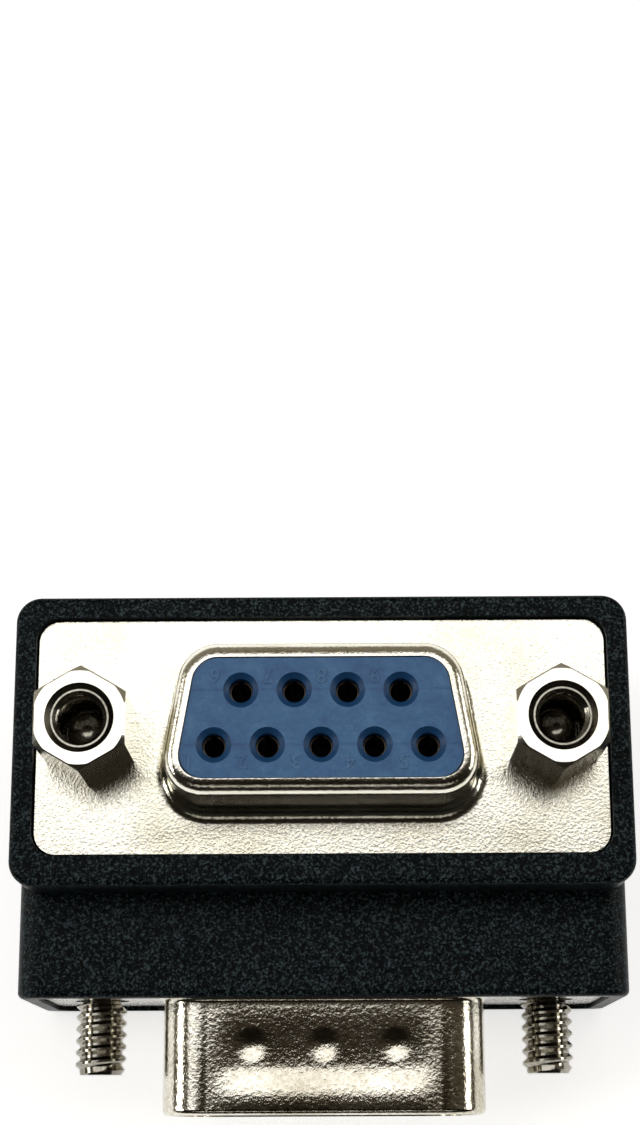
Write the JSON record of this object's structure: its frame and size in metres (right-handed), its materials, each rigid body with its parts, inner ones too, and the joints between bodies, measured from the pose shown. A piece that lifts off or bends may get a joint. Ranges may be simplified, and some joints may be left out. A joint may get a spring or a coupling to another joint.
{
  "type": "right-angle d-sub adapter",
  "caption": "Right-angle connector adapter: a black moulded housing joins a D-shaped contact socket with jack sockets to a D-shaped pin plug with captive jackscrews, set square to it.",
  "frame": {"origin": "on the flat back, straight behind the middle of the socket", "axes": "+Z the way the socket faces, -Y the way the plug faces, X along both flanges"},
  "size_m": [0.0334, 0.027, 0.0239],
  "materials": {
    "housing_plastic": "moulded with a fine spark-eroded grain",
    "nickel_sheet": "pressed steel sheet with bright nickel plate",
    "blue_insulator": "moulded satin",
    "contact_plate": "turned and gold flashed",
    "wire_copper": "bare copper",
    "nickel_fastener": "turned and nickel plated",
    "spring_steel": "stamped"
  },
  "bodies": {
    "adapter": {"housing": "housing_plastic", "socket_shell": "nickel_sheet", "socket_back_shell": "nickel_sheet", "plug_shell": "nickel_sheet", "plug_back_shell": "nickel_sheet", "socket_front_insulator": "blue_insulator", "socket_rear_insulator": "blue_insulator", "plug_front_insulator": "blue_insulator", "plug_rear_insulator": "blue_insulator", "socket_contact_1": "contact_plate", "socket_contact_2": "contact_plate", "socket_contact_3": "contact_plate", "socket_contact_4": "contact_plate", "socket_contact_5": "contact_plate", "socket_contact_6": "contact_plate", "socket_contact_7": "contact_plate", "socket_contact_8": "contact_plate", "socket_contact_9": "contact_plate", "plug_pin_1": "contact_plate", "plug_pin_2": "contact_plate", "plug_pin_3": "contact_plate", "plug_pin_4": "contact_plate", "plug_pin_5": "contact_plate", "plug_pin_6": "contact_plate", "plug_pin_7": "contact_plate", "plug_pin_8": "contact_plate", "plug_pin_9": "contact_plate", "wire_1": "wire_copper", "wire_2": "wire_copper", "wire_3": "wire_copper", "wire_4": "wire_copper", "wire_5": "wire_copper", "wire_6": "wire_copper", "wire_7": "wire_copper", "wire_8": "wire_copper", "wire_9": "wire_copper", "jack_sockets": "nickel_fastener", "jack_nuts": "nickel_fastener"},
    "jackscrew_left": {"jackscrew_left": "nickel_fastener", "retaining_ring_left": "spring_steel"},
    "jackscrew_right": {"jackscrew_right": "nickel_fastener", "retaining_ring_right": "spring_steel"}
  },
  "joints": [
    {"name": "jackscrew_left_turn", "type": "hinge", "parent": "adapter", "child": "jackscrew_left", "pos_m": [-0.01249, -0.01, 0.00724], "axis": [0, -1, 0], "continuous": true},
    {"name": "jackscrew_right_turn", "type": "hinge", "parent": "adapter", "child": "jackscrew_right", "pos_m": [0.01249, -0.01, 0.00724], "axis": [0, -1, 0], "continuous": true}
  ]
}
